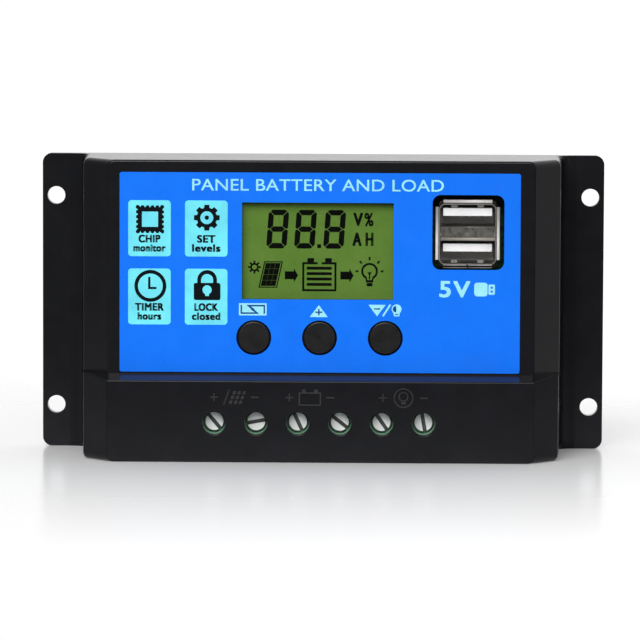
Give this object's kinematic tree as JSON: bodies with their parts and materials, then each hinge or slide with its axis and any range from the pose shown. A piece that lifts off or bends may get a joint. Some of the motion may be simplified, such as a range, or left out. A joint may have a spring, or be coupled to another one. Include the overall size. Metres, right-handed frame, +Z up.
{
  "type": "solar charge controller",
  "caption": "Wall-mounted solar charge controller: flanged black case with a display, push buttons, stacked USB outlets and a row of screw clamps for wires from below.",
  "frame": {"origin": "centre of the four mounting holes, on the back plane that lies against the wall", "axes": "+X to the viewer's right along the case, +Y into the wall, +Z up; the display and the screws face -Y and the wires enter from -Z"},
  "size_m": [0.1334, 0.035, 0.07],
  "materials": {
    "case_plastic": "fine satin black ABS moulding",
    "plate_black": "black anodised sheet, brushed",
    "button_plastic": "satin black caps",
    "label_print": "blue printed polyester overlay, satin gloss",
    "display_glass": "olive green display face",
    "light_guide": "yellow green edge-lit acrylic",
    "holder_plastic": "black display holder",
    "pin_metal": "bright tin plate",
    "usb_steel": "nickel plated steel, drawn",
    "white_plastic": "white nylon",
    "terminal_green": "green glass-filled nylon",
    "screw_steel": "zinc plated steel",
    "clamp_steel": "zinc plated steel",
    "board_laminate": "green solder mask on laminate",
    "standoff_brass": "nickel-free brass",
    "pad_rubber": "grey silicone insulating pad",
    "epoxy_black": "moulded epoxy",
    "tab_copper": "tinned copper",
    "capacitor_sleeve": "shrunk PVC sleeve",
    "ferrite": "sintered ferrite",
    "coil_copper": "enamelled copper winding",
    "crystal_can": "bright can",
    "switch_plastic": "black nylon",
    "switch_steel": "stamped steel",
    "resistor_ceramic": "black glaze on ceramic",
    "capacitor_ceramic": "tan ceramic"
  },
  "bodies": {
    "case": {"back_plate": "plate_black", "back_plate_screws": "screw_steel", "board_screws": "screw_steel", "board_standoffs": "standoff_brass", "chip_capacitors": "capacitor_ceramic", "chip_pins": "pin_metal", "chip_resistors": "resistor_ceramic", "crystal": "crystal_can", "current_shunt": "tab_copper", "diode_leads": "pin_metal", "front_shell": "case_plastic", "label_film": "label_print", "large_capacitors": "capacitor_sleeve", "lcd_backlight": "light_guide", "lcd_glass": "display_glass", "lcd_holder": "holder_plastic", "lcd_pins": "pin_metal", "main_board": "board_laminate", "microcontroller": "epoxy_black", "power_diodes": "epoxy_black", "power_transistors": "epoxy_black", "small_capacitors": "capacitor_sleeve", "tact_switch_bodies": "switch_plastic", "tact_switch_covers": "switch_steel", "terminal_contacts": "pin_metal", "terminal_housing": "terminal_green", "thermal_pad": "pad_rubber", "transistor_screws": "screw_steel", "transistor_tabs": "tab_copper", "usb_contacts": "pin_metal", "usb_inductor_coil": "coil_copper", "usb_inductor_core": "ferrite", "usb_insulators": "white_plastic", "usb_regulator": "epoxy_black", "usb_shell": "usb_steel"},
    "menu_button": {"menu_button_cap": "button_plastic", "menu_switch_plunger": "switch_plastic"},
    "up_button": {"up_button_cap": "button_plastic", "up_switch_plunger": "switch_plastic"},
    "down_button": {"down_button_cap": "button_plastic", "down_switch_plunger": "switch_plastic"},
    "screw_1": {"terminal_screw_1": "screw_steel"},
    "clamp_1": {"clamp_cage_1": "clamp_steel"},
    "screw_2": {"terminal_screw_2": "screw_steel"},
    "clamp_2": {"clamp_cage_2": "clamp_steel"},
    "screw_3": {"terminal_screw_3": "screw_steel"},
    "clamp_3": {"clamp_cage_3": "clamp_steel"},
    "screw_4": {"terminal_screw_4": "screw_steel"},
    "clamp_4": {"clamp_cage_4": "clamp_steel"},
    "screw_5": {"terminal_screw_5": "screw_steel"},
    "clamp_5": {"clamp_cage_5": "clamp_steel"},
    "screw_6": {"terminal_screw_6": "screw_steel"},
    "clamp_6": {"clamp_cage_6": "clamp_steel"}
  },
  "joints": [
    {"name": "menu_press", "type": "slide", "parent": "case", "child": "menu_button", "axis": [0, 1, 0], "range_m": [0, 0.0005], "stiffness_N_per_m": 600, "springref_m": -0.002},
    {"name": "up_press", "type": "slide", "parent": "case", "child": "up_button", "axis": [0, 1, 0], "range_m": [0, 0.0005], "stiffness_N_per_m": 600, "springref_m": -0.002},
    {"name": "down_press", "type": "slide", "parent": "case", "child": "down_button", "axis": [0, 1, 0], "range_m": [0, 0.0005], "stiffness_N_per_m": 600, "springref_m": -0.002},
    {"name": "screw_turn_1", "type": "hinge", "parent": "case", "child": "screw_1", "pos_m": [-0.02467, -0.029, -0.0258], "axis": [0, 1, 0], "range_deg": [0, 1981]},
    {"name": "clamp_lift_1", "type": "slide", "parent": "case", "child": "clamp_1", "axis": [0, -1, 0], "range_m": [0, 0.0033]},
    {"name": "screw_turn_2", "type": "hinge", "parent": "case", "child": "screw_2", "pos_m": [-0.01494, -0.029, -0.0258], "axis": [0, 1, 0], "range_deg": [0, 1981]},
    {"name": "clamp_lift_2", "type": "slide", "parent": "case", "child": "clamp_2", "axis": [0, -1, 0], "range_m": [0, 0.0033]},
    {"name": "screw_turn_3", "type": "hinge", "parent": "case", "child": "screw_3", "pos_m": [-0.00521, -0.029, -0.0258], "axis": [0, 1, 0], "range_deg": [0, 1981]},
    {"name": "clamp_lift_3", "type": "slide", "parent": "case", "child": "clamp_3", "axis": [0, -1, 0], "range_m": [0, 0.0033]},
    {"name": "screw_turn_4", "type": "hinge", "parent": "case", "child": "screw_4", "pos_m": [0.00452, -0.029, -0.0258], "axis": [0, 1, 0], "range_deg": [0, 1981]},
    {"name": "clamp_lift_4", "type": "slide", "parent": "case", "child": "clamp_4", "axis": [0, -1, 0], "range_m": [0, 0.0033]},
    {"name": "screw_turn_5", "type": "hinge", "parent": "case", "child": "screw_5", "pos_m": [0.01425, -0.029, -0.0258], "axis": [0, 1, 0], "range_deg": [0, 1981]},
    {"name": "clamp_lift_5", "type": "slide", "parent": "case", "child": "clamp_5", "axis": [0, -1, 0], "range_m": [0, 0.0033]},
    {"name": "screw_turn_6", "type": "hinge", "parent": "case", "child": "screw_6", "pos_m": [0.02398, -0.029, -0.0258], "axis": [0, 1, 0], "range_deg": [0, 1981]},
    {"name": "clamp_lift_6", "type": "slide", "parent": "case", "child": "clamp_6", "axis": [0, -1, 0], "range_m": [0, 0.0033]}
  ],
  "couplings": [
    {"joint": "screw_turn_1", "follows": "clamp_lift_1", "rad_per_m": 10472},
    {"joint": "screw_turn_2", "follows": "clamp_lift_2", "rad_per_m": 10472},
    {"joint": "screw_turn_3", "follows": "clamp_lift_3", "rad_per_m": 10472},
    {"joint": "screw_turn_4", "follows": "clamp_lift_4", "rad_per_m": 10472},
    {"joint": "screw_turn_5", "follows": "clamp_lift_5", "rad_per_m": 10472},
    {"joint": "screw_turn_6", "follows": "clamp_lift_6", "rad_per_m": 10472}
  ]
}
